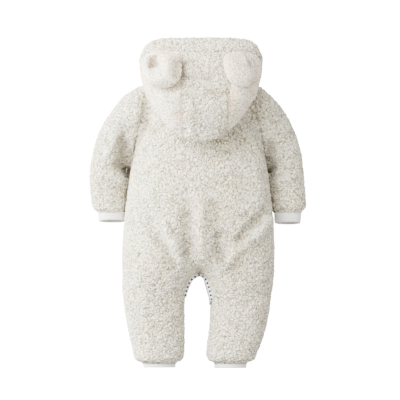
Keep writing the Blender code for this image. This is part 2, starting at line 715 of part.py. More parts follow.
def ear_point(ear, reach, angle):
    """A point of an ear's outer layer: reach runs from 0 in the middle to 1 at the rim."""
    across, up = math.cos(angle), math.sin(angle)
    if up > 0:
        across, up = math.copysign(abs(across) ** EAR_TOP, across), up**EAR_TOP
    x, z = ear.half_width * across * reach, ear.half_height * up * reach
    y = ear.bulge * (1 - math.sqrt(1 - (EAR_ROUND * reach) ** 2))
    place = np.array([x, z]) - np.array([ear.from_x, ear.from_z])
    along = np.array([ear.to_x - ear.from_x, ear.to_z - ear.from_z], float)
    share = float(np.clip(place @ along / (along @ along), 0, 1))
    away = np.linalg.norm(place - share * along)
    sharp = place[0] * along[1] - place[1] * along[0] > 0
    sunk = ear.fold * math.exp(-((away / (ear.fold_width * (EAR_FOLD_EDGE if sharp else 1))) ** 3))
    y = math.log(math.exp(y / 2) + math.exp(sunk / 2)) * 2 - 2 * math.log(2)
    x += math.tan(math.radians(ear.lean)) * (ear.half_height - z)
    turn, slope = math.radians(ear.turn), math.radians(ear.slope)
    x, y = x * math.cos(turn) - y * math.sin(turn), -y * math.cos(turn) - x * math.sin(turn)
    return np.array([ear.side * (ear.x + x), ear.y + y - math.tan(slope) * z, ear.z + z])


def build_ears(fleece):
    """Two ears, each an outer layer and an inner one that lines its hollow."""
    for ear in EARS:
        net = Net()
        turns = [2 * math.pi * k / EAR_SEGMENTS for k in range(EAR_SEGMENTS)]
        rings = [[ear_point(ear, 0, 0)] * (EAR_SEGMENTS + 1)]
        for r in range(1, EAR_RINGS + 1):
            reach = math.sin(math.asin(EAR_ROUND) * r / EAR_RINGS) / EAR_ROUND
            ring = [ear_point(ear, reach, turn) for turn in turns]
            rings.append(ring + ring[:1])
        net.grid("ear", rings, flip=ear.side == LEFT)
        layers = {"outer": 0.0, "inner": -(EAR_FLEECE + LAP_GAP)}
        for layer, lift in layers.items():
            outer, inner, _ = net.wall(EAR_FLEECE, lift)
            closed_wall(f"ear_{layer}_{ear.name}", outer, inner, net.faces["ear"], fleece, gap=0.0)


def along_line(points, reach, count):
    """Points spread evenly along a line, from its start up to a length."""
    lengths = np.concatenate([[0], np.cumsum([np.linalg.norm(b - a) for a, b in zip(points, points[1:])])])
    places = np.linspace(0, reach, count + 1)
    return [np.array([np.interp(at, lengths, [p[k] for p in points]) for k in range(3)]) for at in places]


def build_facing(net, outer, unit, cotton):
    """The dotted facing round the crotch: a thin strip made from the points of the back, moved out."""

    def lifted(place):
        i = net.found[net.key(place)]
        return outer[i] + unit[i] * (FACING_LIFT + (CROTCH_LIFT if place[2] >= CROTCH_Z else 0))

    rows = []
    for side in (LEFT, RIGHT):
        middle = [row[-1] for row in torso_rows(side, BACK)[::-1]]
        lines = {-1: middle} | dict(enumerate(row[::-1] for row in leg_rows(side, BACK)))
        stack = [along_line([lifted(p) for p in lines[f.row][:6]], f.reach, FACING_COLUMNS) for f in FACING[side]]
        rows = stack[:0:-1] + stack[:1] if side == LEFT else rows + stack[1:]
    strip = Net()
    strip.grid("inseam_facing", rows)
    points, inner, _ = strip.wall(COTTON, COTTON)
    closed_wall("inseam_facing", points, inner, strip.faces["inseam_facing"], cotton)


def build_snaps(net, outer, unit, plastic):
    """Round press studs on the front lap."""
    middle = [np.array(row[-1]) for row in torso_rows(LEFT, FRONT)]
    ids = [net.found[net.key(p)] for p in middle]
    line = np.array([outer[i] + unit[i] * (FLEECE + LAP_GAP + SEAM_GAP) for i in ids])
    for n in range(SNAPS):
        z = SNAP_TOP_Z - SNAP_PITCH * n
        y = float(np.interp(-z, -line[:, 2], line[:, 1]))
        direction = np.array([np.interp(-z, -line[:, 2], unit[ids][:, k]) for k in range(3)])
        bpy.ops.mesh.primitive_cylinder_add(
            vertices=16,
            radius=SNAP_RADIUS * MM,
            depth=SNAP_HEIGHT * MM,
            location=tuple(np.array([line[0][0], y, z]) * MM + direction * (SNAP_HEIGHT / 2 + 0.2) * MM),
            rotation=(math.atan2(-direction[1], direction[2]), 0, 0),
        )
        stud = bpy.context.object
        stud.name = stud.data.name = f"front_snap_{n + 1}"
        bevel = stud.modifiers.new("rounded edge", "BEVEL")
        bevel.width = 0.7 * MM
        bevel.segments = 1
        bevel.limit_method = "ANGLE"
        stud.data.materials.append(plastic)
        for collection in list(stud.users_collection):
            collection.objects.unlink(stud)
        bpy.data.collections[COLLECTION].objects.link(stud)


def main():
    for old in list(bpy.data.objects):
        bpy.data.objects.remove(old, do_unlink=True)
    bpy.context.scene.collection.children.link(bpy.data.collections.new(COLLECTION))
    fleece = principled("cream curly fleece", FLEECE_CREAM, 0.95)
    ear_fleece = principled("cream ear fleece", FLEECE_EAR, 0.95)
    rib = principled("off-white rib knit", RIB_WHITE, 0.85)
    cotton = principled("dotted white cotton", COTTON_WHITE, 0.8)
    plastic = principled("cream press-stud plastic", SNAP_WHITE, 0.4)
    net, outer, _, unit = build_sewn_pieces(fleece)
    build_cuffs(rib)
    build_ears(ear_fleece)
    build_facing(net, outer, unit, cotton)
    build_snaps(net, outer, unit, plastic)


main()
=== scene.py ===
"""Looks of a hooded baby romper in cream curly fleece, with two round ears on its hood, seen from the back."""

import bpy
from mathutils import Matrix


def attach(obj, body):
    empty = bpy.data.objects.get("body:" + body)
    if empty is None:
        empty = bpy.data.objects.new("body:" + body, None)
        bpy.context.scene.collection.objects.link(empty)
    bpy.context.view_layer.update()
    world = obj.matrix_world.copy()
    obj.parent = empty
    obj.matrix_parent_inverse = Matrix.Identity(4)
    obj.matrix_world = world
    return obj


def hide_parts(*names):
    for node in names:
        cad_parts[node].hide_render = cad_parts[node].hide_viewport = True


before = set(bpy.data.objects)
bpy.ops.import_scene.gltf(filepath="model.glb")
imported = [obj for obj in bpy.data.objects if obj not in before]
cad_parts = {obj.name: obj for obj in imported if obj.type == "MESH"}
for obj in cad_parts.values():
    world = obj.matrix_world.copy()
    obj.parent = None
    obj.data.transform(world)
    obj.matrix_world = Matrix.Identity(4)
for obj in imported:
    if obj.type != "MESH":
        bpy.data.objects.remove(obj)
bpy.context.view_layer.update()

import logging
import math
from dataclasses import dataclass, field
from enum import Enum
from typing import Any

import bmesh
import bpy
import numpy as np
from mathutils import Matrix, Vector, noise
from mathutils.bvhtree import BVHTree
from mathutils.kdtree import KDTree

log = logging.getLogger("romper")

MM = 0.001
PHOTO_SIZE = 400
MM_PER_PIXEL = 2.0
BODY = "root"
Socket = bpy.types.NodeSocket
CURL_SEED = 7


class Side(Enum):
    """Which side of a cloth piece carries its pile."""

    CONVEX = "the side that bulges out"
    CONCAVE = "the side that lines a hollow"


class Held(Enum):
    """How a piece of cloth is held."""

    HUNG = "hung"
    FOLDED = "folded"
    STRETCHED = "stretched"


# Materials


def linear(colour: str) -> tuple[float, float, float, float]:
    """Turns an sRGB hex colour into linear values.

    Args:
        colour: Six hex digits after a #.

    Returns:
        Linear red, green and blue, and an alpha of 1.
    """
    parts = [int(colour[i : i + 2], 16) / 255 for i in (1, 3, 5)]
    red, green, blue = (p / 12.92 if p <= 0.04045 else ((p + 0.055) / 1.055) ** 2.4 for p in parts)
    return red, green, blue, 1.0


class Graph:
    """A material with a Principled shader, and short ways to add to its nodes."""

    def __init__(self, name: str) -> None:
        """Makes the material.

        Args:
            name: The finish's name.
        """
        self.material = bpy.data.materials.new(name)
        self.material.use_nodes = True
        self.tree = self.material.node_tree
        self.shader = self.tree.nodes["Principled BSDF"]

    def feed(self, node: bpy.types.Node, **inputs: Any) -> None:
        """Sets or links a node's inputs.

        Args:
            node: The node.
            **inputs: Values or output sockets, by the input's name with _ for a space, or i0, i1 for its place.
        """
        for name, value in inputs.items():
            place = int(name[1:]) if name[0] == "i" and name[1:].isdigit() else name.replace("_", " ")
            if isinstance(value, Socket):
                self.tree.links.new(value, node.inputs[place])
            else:
                node.inputs[place].default_value = value

    def finish(self, **inputs: Any) -> bpy.types.Material:
        """Sets or links the shader's inputs and hands over the material."""
        self.feed(self.shader, **inputs)
        return self.material

    def add(self, kind: str, settings: dict[str, Any] | None = None, **inputs: Any) -> bpy.types.Node:
        """Adds a node.

        Args:
            kind: The node's type name after ShaderNode.
            settings: Properties of the node itself.
            **inputs: As for feed.

        Returns:
            The new node.
        """
        made = self.tree.nodes.new(f"ShaderNode{kind}")
        for name, value in (settings or {}).items():
            setattr(made, name, value)
        self.feed(made, **inputs)
        return made

    def place(self) -> Socket:
        """The object's own coordinates, in metres."""
        return self.add("TexCoord").outputs["Object"]

    def attribute(self, name: str) -> Socket:
        """The mesh attribute of this name."""
        return self.add("Attribute", {"attribute_name": name}).outputs["Fac"]

    def math(self, operation: str, *values: Any, clamp: bool = False) -> Socket:
        """Works out a value from numbers and sockets."""
        inputs = {f"i{n}": value for n, value in enumerate(values)}
        return self.add("Math", {"operation": operation, "use_clamp": clamp}, **inputs).outputs[0]

    def blend(self, share: Any, base: Socket, tint: Any) -> Socket:
        """Multiplies a colour by a tint, in part or whole."""
        made = self.add("Mix", {"data_type": "RGBA", "blend_type": "MULTIPLY"}, i0=share, i6=base, i7=tint)
        return made.outputs[2]

    def ramp(self, factor: Socket, *stops: tuple[float, str]) -> Socket:
        """Adds a colour ramp.

        Args:
            factor: The socket that it reads.
            *stops: Places from 0 to 1 with hex colours: the first and last ones, and then those between them.

        Returns:
            The colour socket.
        """
        made = self.add("ValToRGB", Fac=factor)
        elements = made.color_ramp.elements
        for n, (place, colour) in enumerate(stops):
            element = elements[n] if n < 2 else elements.new(place)
            element.position = place
            element.color = linear(colour)
        return made.outputs["Color"]

    def bump(self, height: Socket, strength: float, depth_mm: float, **under: Any) -> Socket:
        """Bends the normal by a height, on top of another bent one if that is given as Normal."""
        return self.add("Bump", Height=height, Strength=strength, Distance=depth_mm * MM, **under).outputs["Normal"]

    def noise(self, place: Socket, size_mm: float, detail: float, **more: Any) -> Socket:
        """Even noise of this size."""
        return self.add("TexNoise", Vector=place, Scale=1000 / size_mm, Detail=detail, **more).outputs["Fac"]

    def bands(self, place: Socket, axis: str, pitch_mm: float, bend: float) -> Socket:
        """Bands across an axis. A wave of scale 1 turns by 20 radians in a metre."""
        return self.add("TexWave", {"bands_direction": axis}, Vector=place, Distortion=bend, Detail=1.0,
                        Scale=math.tau / 20 / (pitch_mm * MM)).outputs["Fac"]


@dataclass(frozen=True)
class CurlyFleece:
    """Polyester sherpa fleece: a knitted ground whose pile has been curled into soft clumps.

    The clumps scatter light and show as cream crests; between them the colour runs warmer and darker with the pile's
    height, as painted shade in the clefts, and glancing light gives a pale edge.
    """

    name: str
    # The root and hollow colours are painted shade in the clefts between curls; body and crest are the fleece's own
    # cream.
    root: str
    hollow: str
    body: str
    crest: str
    warm: str = "#fff8ef"
    # Painted shade: the dark tint for creases, seams and places where other cloth stands close.
    painted_shade: str = "#6c614e"
    curl_mm: float = 6.2
    fibre_mm: float = 3.8
    curl_share: float = 0.65
    fluff_share: float = 0.55
    relief: float = 1.0

    def build(self) -> bpy.types.Material:
        """Makes the material. It reads two mesh attributes: pile, the curls' height, whose low end is coloured as
        painted shade, and a second one, how much painted shade darkens the colour.

        Returns:
            The material.
        """
        graph = Graph(self.name)
        place = graph.place()
        curls, fibres = self.puffs(graph, place, self.curl_mm), self.puffs(graph, place, self.fibre_mm)
        fluff = graph.math("MULTIPLY_ADD", fibres, 1 - self.curl_share, graph.math("MULTIPLY", curls, self.curl_share))
        pile = graph.math("MULTIPLY", graph.attribute("pile"), 1 - self.fluff_share)
        height = graph.math("MULTIPLY_ADD", fluff, self.fluff_share, pile, clamp=True)
        # The low end of the ramp is painted shade in the clefts between curls.
        colour = graph.ramp(height, (0.2, self.root), (0.78, self.crest), (0.4, self.hollow), (0.56, self.body))
        warm = graph.ramp(graph.noise(place, 50, 2.0, Roughness=0.5), (0.32, self.warm), (0.6, "#ffffff"))
        # Painted shade: the colour is multiplied towards the dark tint where the second attribute is high.
        shaded_colour = graph.blend(graph.attribute("painted_shade"), graph.blend(1.0, colour, warm), linear(self.painted_shade))
        return graph.finish(Base_Color=shaded_colour, Normal=graph.bump(fluff, self.relief, 2.4), Roughness=0.95,
                            Specular_IOR_Level=0.2, Sheen_Weight=0.5, Sheen_Roughness=0.4)

    @staticmethod
    def puffs(graph: Graph, place: Socket, size_mm: float, bend: float = 2.2) -> Socket:
        """Adds round puffs with clefts between them.

        Args:
            graph: The material.
            place: The coordinates.
            size_mm: The size of a puff.
            bend: How much the puffs are bent, against their size.

        Returns:
            The height socket: 0 in a cleft and 1 on a crest.
        """
        waves = graph.add("TexNoise", Vector=place, Scale=500 / size_mm, Detail=1.0).outputs["Color"]
        centred = graph.add("VectorMath", {"operation": "SUBTRACT"}, i0=waves, i1=(0.5, 0.5, 0.5)).outputs[0]
        bent = graph.add("VectorMath", {"operation": "MULTIPLY_ADD"}, i0=centred, i1=(bend * size_mm * MM,) * 3,
                         i2=place).outputs[0]
        cells = graph.add("TexVoronoi", {"feature": "DISTANCE_TO_EDGE"}, Vector=bent, Scale=1000 / size_mm)
        return graph.math("POWER", graph.math("MULTIPLY", cells.outputs["Distance"], 3.2, clamp=True), 0.7)


@dataclass(frozen=True)
class KnittedGround:
    """The back of the fleece: a weft knit, brushed a little, with soft bands 3.8 mm apart."""

    name: str = "knitted ground of the fleece"
    colour: str = "#e9e4d8"
    shade: str = "#d3ccbc"
    band_mm: float = 3.77

    def build(self) -> bpy.types.Material:
        """Makes the material.

        Returns:
            The material.
        """
        graph = Graph(self.name)
        place = graph.place()
        fuzz = graph.noise(place, 4, 4.0, Roughness=0.6)
        knit = graph.bump(graph.bands(place, "X", self.band_mm, 1.5), 0.25, 0.3)
        return graph.finish(
            Base_Color=graph.ramp(fuzz, (0.3, self.shade), (0.65, self.colour)),
            Normal=graph.bump(fuzz, 0.4, 0.8, Normal=knit), Roughness=0.92, Sheen_Weight=0.15,
        )


@dataclass(frozen=True)
class RibKnit:
    """Cotton rib: the ribs themselves are in the mesh, soft bands run across them, and the grooves are coloured darker
    as painted shade.
    """

    name: str = "off-white cotton rib knit"
    colour: str = "#f1f1ee"
    groove_shade: str = "#cfcdc6"
    band_mm: float = 3.456

    def build(self) -> bpy.types.Material:
        """Makes the material. It reads the rib's height from the mesh attribute named pile.

        Returns:
            The material.
        """
        graph = Graph(self.name)
        place = graph.place()
        height = graph.math("MULTIPLY_ADD", graph.noise(place, 3, 3.0), 0.3, graph.attribute("pile"))
        return graph.finish(
            # Painted shade: the grooves take the darker colour.
            Base_Color=graph.ramp(height, (0.1, self.groove_shade), (0.8, self.colour)),
            Normal=graph.bump(graph.bands(place, "Z", self.band_mm, 0.8), 0.3, 0.25), Roughness=0.85,
            Sheen_Weight=0.1,
        )


@dataclass(frozen=True)
class DottedCotton:
    """Plain-woven white cotton, printed with small black dots in staggered rows. It reads the map named dots."""

    name: str = "dotted white poplin"
    cloth: str = "#f4f3ee"
    dot: str = "#1d1b1a"
    dot_share: float = 0.3
    thread_mm: float = 0.8

    def build(self) -> bpy.types.Material:
        """Makes the material. One unit of the map is the distance between two rows of dots.

        Returns:
            The material.
        """
        graph = Graph(self.name)
        flat = graph.add("UVMap", {"uv_map": "dots"}).outputs["UV"]
        cells = graph.add("TexVoronoi", {"voronoi_dimensions": "2D"}, Vector=flat, Scale=1.0, Randomness=0.0)
        dots = graph.math("LESS_THAN", cells.outputs["Distance"], self.dot_share)
        weave = graph.noise(graph.place(), self.thread_mm, 1.0)
        return graph.finish(Base_Color=graph.ramp(dots, (0.4, self.cloth), (0.6, self.dot)),
                            Normal=graph.bump(weave, 0.3, 0.15), Roughness=0.8)


@dataclass(frozen=True)
class SnapPlastic:
    """Moulded acetal of a press stud: smooth, cream and slightly glossy, with faint flow marks."""

    name: str = "moulded cream acetal"
    colour: str = "#ece4d3"
    shade: str = "#ddd3bf"

    def build(self) -> bpy.types.Material:
        """Makes the material.

        Returns:
            The material.
        """
        graph = Graph(self.name)
        flow = graph.noise(graph.place(), 6, 2.0)
        return graph.finish(Base_Color=graph.ramp(flow, (0.35, self.shade), (0.6, self.colour)),
                            Normal=graph.bump(flow, 0.05, 0.2), Roughness=0.32, IOR=1.48)


@dataclass(frozen=True)
class Thread:
    """Spun polyester sewing thread, two plies twisted to the left."""

    name: str = "cream sewing thread"
    colour: str = "#d9d1bf"
    shade: str = "#c6bda8"

    def build(self) -> bpy.types.Material:
        """Makes the material.

        Returns:
            The material.
        """
        graph = Graph(self.name)
        twist = graph.noise(graph.place(), 0.8, 1.0)
        return graph.finish(Base_Color=graph.ramp(twist, (0.3, self.shade), (0.6, self.colour)),
                            Normal=graph.bump(twist, 0.4, 0.1), Roughness=0.7)


# Cloth on the form of its solid


def solid_tree(node: str) -> BVHTree:
    """Makes a CAD solid ready for rays and nearest points.

    Args:
        node: The CAD node.

    Returns:
        The tree of its faces.
    """
    bm = bmesh.new()
    bm.from_mesh(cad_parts[node].data)
    tree = BVHTree.FromBMesh(bm)
    bm.free()
    return tree


@dataclass
class Surface:
    """The triangles of a mesh as arrays, with what the pile needs to know about them.

    Args:
        points: One place for each vertex.
        triangles: Vertex numbers of the triangles that carry pile.
        carried: True for each vertex of those triangles.
        border: True for each carried vertex that another face shares.
    """

    points: np.ndarray
    triangles: np.ndarray
    carried: np.ndarray
    border: np.ndarray

    @classmethod
    def of(cls, mesh: bpy.types.Mesh) -> "Surface":
        """Reads a mesh whose first material slot is the pile's.

        Args:
            mesh: A mesh of triangles.

        Returns:
            Its surface.
        """
        points = np.empty(len(mesh.vertices) * 3)
        mesh.vertices.foreach_get("co", points)
        mesh.calc_loop_triangles()
        corners = np.empty(len(mesh.loop_triangles) * 3, np.int32)
        mesh.loop_triangles.foreach_get("vertices", corners)
        slots = np.empty(len(mesh.loop_triangles), np.int32)
        mesh.loop_triangles.foreach_get("material_index", slots)
        corners = corners.reshape(-1, 3)
        carried = np.zeros(len(mesh.vertices), bool)
        other = np.zeros(len(mesh.vertices), bool)
        carried[corners[slots == 0]] = True
        other[corners[slots != 0]] = True
        return cls(points.reshape(-1, 3), corners[slots == 0], carried, carried & other)

    def normals(self) -> np.ndarray:
        """Finds each vertex's outward direction, from the pile's own triangles alone.

        Returns:
            One direction for each vertex, with no length where there is no pile.
        """
        a, b, c = (self.points[self.triangles[:, k]] for k in range(3))
        across = np.cross(b - a, c - a)
        total = np.zeros_like(self.points)
        for k in range(3):
            np.add.at(total, self.triangles[:, k], across)
        return total / np.maximum(np.linalg.norm(total, axis=1, keepdims=True), 1e-12)


class Surroundings:
    """All the solids of the garment, to find where cloth lies close to other cloth, where the pile gets painted shade.
    """

    REACH = 26 * MM
    LIFT = 1.6 * MM
    LOOKS = [(0.0, 0.0)] + [(math.tau * n / 6, math.radians(48)) for n in range(6)]
    tree: BVHTree | None = None

    @classmethod
    def crowding(cls, points: np.ndarray, normals: np.ndarray) -> list[float]:
        """How much cloth stands close in front of each point.

        Args:
            points: Places in metres.
            normals: The outward directions there.

        Returns:
            One number for each point: 0 where it is free and 1 where it is shut in.
        """
        if cls.tree is None:
            corners, faces = [], []
            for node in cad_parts.values():
                base = len(corners)
                corners += [vertex.co.copy() for vertex in node.data.vertices]
                faces += [tuple(base + i for i in face.vertices) for face in node.data.polygons]
            cls.tree = BVHTree.FromPolygons(corners, faces)
        found = []
        for place, up in zip(points, normals):
            up = Vector(up)
            start = Vector(place) + up * cls.LIFT
            side = up.orthogonal().normalized()
            ahead = up.cross(side)
            total = 0.0
            for turn, tilt in cls.LOOKS:
                look = up * math.cos(tilt) + (side * math.cos(turn) + ahead * math.sin(turn)) * math.sin(tilt)
                away = cls.tree.ray_cast(start, look, cls.REACH)[3]
                if away is not None:
                    total += 1 - away / cls.REACH
            found.append(total / len(cls.LOOKS))
        return found


@dataclass(frozen=True)
class Pile:
    """How the curls of a fleece stand.

    Args:
        clump_mm: The size of a curl.
        depth_mm: From the bottom between curls to their crests.
        drift_mm: The size of the uneven patches.
        drift_share: How much of the height those patches take.
        level: The share of the depth that lies outside the solid's own surface.
        tuft_share: How much of the height comes from round tufts; the rest comes from strands between them.
        highest: The greatest height.
    """

    clump_mm: float = 7.2
    depth_mm: float = 3.8
    drift_mm: float = 26.0
    drift_share: float = 0.09
    level: float = 0.42
    tuft_share: float = 0.65
    highest: float = 1.15

    def heights(self, points: np.ndarray) -> np.ndarray:
        """The pile's height at each point.

        Args:
            points: Places in metres.

        Returns:
            One number for each point, about 0 between curls and 1 on their crests.
        """
        size, drift = self.clump_mm * MM, self.drift_mm * MM
        found = np.empty(len(points))
        for n, place in enumerate(points):
            at = Vector(place)
            warped = at / size + noise.noise_vector(at / (size * 1.3)) * 0.8
            near, far = noise.voronoi(warped)[0][:2]
            tuft = min((far - near) / 0.6, 1.0)
            strand = min(abs(noise.noise(warped * 0.9)) * 3.2, 1.0)
            found[n] = self.tuft_share * math.sqrt(tuft) + (1 - self.tuft_share) * math.sqrt(strand)
            found[n] += self.drift_share * noise.noise(at / drift)
        return np.clip(found, 0.0, self.highest)


@dataclass(frozen=True)
class Crease:
    """A crease that is sunk into the side of the cloth that faces the back, +Y, and that can darken its pile with
    painted shade.

    Args:
        start: One end in X and Z, in millimetres.
        end: The other end.
        width_mm: Its half width.
        depth_mm: How deep it is; a negative depth is a raised fold.
        painted_shade: How much painted shade darkens its pile, from 0 to 1.
    """

    start: tuple[float, float]
    end: tuple[float, float]
    width_mm: float
    depth_mm: float
    painted_shade: float = 0.0

    WANDER, TURNS = 1.2 * MM, 9
    FACING = 2
    FADE, AT_ENDS = 5, 0.35

    def share(self, points: np.ndarray, normals: np.ndarray) -> np.ndarray:
        """How much of the crease each point takes.

        Args:
            points: Places in metres.
            normals: The outward directions there.

        Returns:
            One number for each point: 1 at the bottom of the crease and 0 far away.
        """
        start, end = np.array(self.start) * MM, np.array(self.end) * MM
        along = end - start
        flat = points[:, [0, 2]] - start
        share = np.clip(flat @ along / (along @ along), 0, 1)
        wander = self.WANDER * np.sin(share * self.TURNS + self.width_mm)
        away = np.linalg.norm(flat - share[:, None] * along, axis=1) + wander
        facing = np.clip(normals[:, 1] * self.FACING, 0, 1)
        fade = np.clip(np.minimum(share, 1 - share) * self.FADE + self.AT_ENDS, 0, 1)
        return facing * fade * np.exp(-((away / (self.width_mm * MM)) ** 2))


@dataclass
class ClothPiece:
    """A sewn piece: its solid's form, refined, smoothed and given its pile.

    Args:
        node: The CAD node that it stands for.
        slot: The name of its material slot; not used.
        flat: Width and length of the cut, in metres; not used.
        area: The cut's area in square metres; not used.
        wall_mm: The cloth's thickness.
        pile: How its curls stand, or None for cloth without any.
        side: The side that carries the pile.
        edge_mm: The longest edge of the refined mesh.
        seam_mm: How deep its seams sink.
        furry_edge: True if the pile goes round the cloth's edge.
        creases: Creases sunk into it, with their painted shade.
        under: CAD nodes that lie on it and press its pile flat.
        held: How it is held; not used.
        occlusion_shade: How much painted shade darkens the pile where other cloth stands close to it.

    A face is taken for a wall if another one, turned the other way, lies between THINNEST and THICKEST walls
    behind it. SHARP is the least angle of an edge that a side ends at.
    """

    node: str
    slot: str
    flat: tuple[float, float]
    area: float
    wall_mm: float = 5.5
    pile: Pile | None = field(default_factory=Pile)
    side: Side = Side.CONVEX
    edge_mm: float = 2.6
    seam_mm: float = 0.8
    furry_edge: bool = False
    creases: tuple[Crease, ...] = ()
    under: tuple[str, ...] = ()
    held: Held = Held.HUNG
    occlusion_shade: float = 1.0

    THINNEST, THICKEST, OPPOSITE = 0.6, 1.7, -0.8
    NEIGHBOURS, ALIKE = 24, 0.5
    SHARP = math.radians(50)
    SPREADS = 3
    LEAST_SHARE, MOST_SHARE = 0.35, 0.72
    REFINEMENTS = 6
    SMOOTHINGS = 4
    PAST_SEAM = 0.3 * MM
    SEAM_WIDTH = 3.2 * MM
    SEAM_SHADE, SEAM_SHADE_WIDTH = 0.16, 5.5 * MM
    PRESS_REACH, PRESS_DEPTH = 3 * MM, 1.2 * MM
    DEEPEST = 0.8

    def build(self, face: bpy.types.Material, ground: bpy.types.Material) -> bpy.types.Object:
        """Makes the piece and puts it in the place of its node.

        Args:
            face: The finish of the side that carries the pile.
            ground: The finish of the other side.

        Returns:
            The finished piece.
        """
        mesh = bpy.data.meshes.new(f"{self.node}_cloth")
        bm = bmesh.new()
        bm.from_mesh(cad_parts[self.node].data)
        bmesh.ops.remove_doubles(bm, verts=bm.verts, dist=1e-6)
        self.mark_sides(bm)
        self.refine(bm)
        bm.to_mesh(mesh)
        bm.free()
        mesh.materials.append(face)
        mesh.materials.append(ground)
        surface = Surface.of(mesh)
        heights, painted_shade = self.raise_pile(surface)
        mesh.vertices.foreach_set("co", surface.points.ravel())
        # The second attribute is painted shade, gathered from creases, seams and cloth that stands close.
        for name, values in (("pile", heights), ("painted_shade", painted_shade)):
            mesh.attributes.new(name, "FLOAT", "POINT").data.foreach_set("value", values)
        mesh.shade_smooth()
        mesh.update()
        piece = bpy.data.objects.new(f"{self.node}_cloth", mesh)
        bpy.context.scene.collection.objects.link(piece)
        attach(piece, BODY)
        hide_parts(self.node)
        return piece

    def mark_sides(self, bm: bmesh.types.BMesh) -> None:
        """Gives the faces that carry pile the first material slot and the others the second.

        Args:
            bm: The solid's merged mesh.
        """
        bm.normal_update()
        if self.pile is None:
            for face in bm.faces:
                face.material_index = 0
            return
        tree = BVHTree.FromBMesh(bm)
        wall = self.wall_mm * MM
        walls = []
        for face in bm.faces:
            start = face.calc_center_median() - face.normal * 1e-5
            _, normal, _, away = tree.ray_cast(start, -face.normal, wall * self.THICKEST)
            if normal is not None and away > wall * self.THINNEST and normal.dot(face.normal) < self.OPPOSITE:
                walls.append(face)
        large, small = sorted(self.islands(walls), key=lambda faces: -sum(f.calc_area() for f in faces))[:2]
        chosen = {face: 0 if self.side is Side.CONVEX else 1 for face in large}
        chosen |= {face: 1 - chosen[large[0]] for face in small}
        known = list(chosen)
        near = KDTree(len(known))
        for n, face in enumerate(known):
            near.insert(face.calc_center_median(), n)
        near.balance()
        for face in [f for f in walls if f not in chosen]:
            for _, n, _ in near.find_n(face.calc_center_median(), self.NEIGHBOURS):
                if known[n].normal.dot(face.normal) > self.ALIKE:
                    chosen[face] = chosen[known[n]]
                    break
        for _ in range(self.SPREADS):
            for face in [f for f in bm.faces if f not in chosen]:
                beside = {
                    chosen[other]
                    for edge in face.edges
                    if edge.calc_face_angle(math.pi) < self.SHARP
                    for other in edge.link_faces
                    if other in chosen
                }
                if len(beside) == 1:
                    chosen[face] = beside.pop()
        for face in bm.faces:
            face.material_index = chosen.get(face, 0 if self.furry_edge else 1)
        share = sum(f.calc_area() for f in bm.faces if f.material_index == 0) / sum(f.calc_area() for f in bm.faces)
        if not self.LEAST_SHARE < share < self.MOST_SHARE:
            raise ValueError(f"{self.node}: the pile's side is {share:.2f} of the whole")

    @staticmethod
    def islands(faces: list[bmesh.types.BMFace]) -> list[list[bmesh.types.BMFace]]:
        """Splits faces into groups that hang together.

        Args:
            faces: The faces.

        Returns:
            The groups.
        """
        left, found = dict.fromkeys(faces), []
        while left:
            start, _ = left.popitem()
            island, queue = [start], [start]
            while queue:
                for edge in queue.pop().edges:
                    for beside in edge.link_faces:
                        if beside in left:
                            del left[beside]
                            island.append(beside)
                            queue.append(beside)
            found.append(island)
        return found

    def refine(self, bm: bmesh.types.BMesh) -> None:
        """Divides the long edges of the pile's side, and bends them to the curve that the facets stand for.

        Args:
            bm: The marked mesh.
        """
        longest = self.edge_mm * MM
        for _ in range(self.REFINEMENTS):
            bm.normal_update()
            long = [
                edge
                for edge in bm.edges
                if edge.calc_length() > longest and any(face.material_index == 0 for face in edge.link_faces)
            ]
            if not long:
                break
            bends = {}
            if self.pile is not None:
                for edge in long:
                    if any(face.material_index for face in edge.link_faces):
                        continue
                    start, end = edge.verts
                    along = end.co - start.co
                    bend = (self.outwards(end) * along.dot(self.outwards(end))
                            - self.outwards(start) * along.dot(self.outwards(start))) / 8
                    bends[self.place_key((start.co + end.co) / 2)] = bend
            made = bmesh.ops.subdivide_edges(bm, edges=long, cuts=1)["geom_inner"]
            for vertex in made:
                if isinstance(vertex, bmesh.types.BMVert):
                    vertex.co += bends.get(self.place_key(vertex.co), Vector())
            bmesh.ops.triangulate(bm, faces=[face for face in bm.faces if len(face.verts) > 3])
        if self.pile is not None:
            inside = [v for v in bm.verts if all(face.material_index == 0 for face in v.link_faces)]
            for _ in range(self.SMOOTHINGS):
                bmesh.ops.smooth_vert(bm, verts=inside, factor=0.5, use_axis_x=True, use_axis_y=True,
                                      use_axis_z=True)
            self.close_seams(bm)

    @staticmethod
    def close_seams(bm: bmesh.types.BMesh) -> None:
        """Lets the pile's side reach a little past its edges, because curls hide a seam's gap.

        Args:
            bm: The refined mesh.
        """
        moves = []
        for vertex in bm.verts:
            slots = {face.material_index for face in vertex.link_faces}
            if len(slots) < 2:
                continue
            inside = [
                edge.other_vert(vertex).co
                for edge in vertex.link_edges
                if all(face.material_index == 0 for face in edge.link_faces)
            ]
            if not inside:
                continue
            away = vertex.co - sum(inside, Vector()) / len(inside)
            up = ClothPiece.outwards(vertex)
            away -= up * away.dot(up)
            moves.append((vertex, away.normalized() * ClothPiece.PAST_SEAM))
        for vertex, move in moves:
            vertex.co += move

    @staticmethod
    def place_key(place: Vector) -> tuple[int, ...]:
        """A place to the nearest micrometre."""
        return tuple(round(value * 1e6) for value in place)

    @staticmethod
    def outwards(vertex: bmesh.types.BMVert) -> Vector:
        """Finds a vertex's outward direction, from its faces with pile alone.

        Args:
            vertex: The vertex.

        Returns:
            The direction.
        """
        total = Vector()
        for face in vertex.link_faces:
            if face.material_index == 0:
                total += face.normal * face.calc_area()
        return total.normalized()

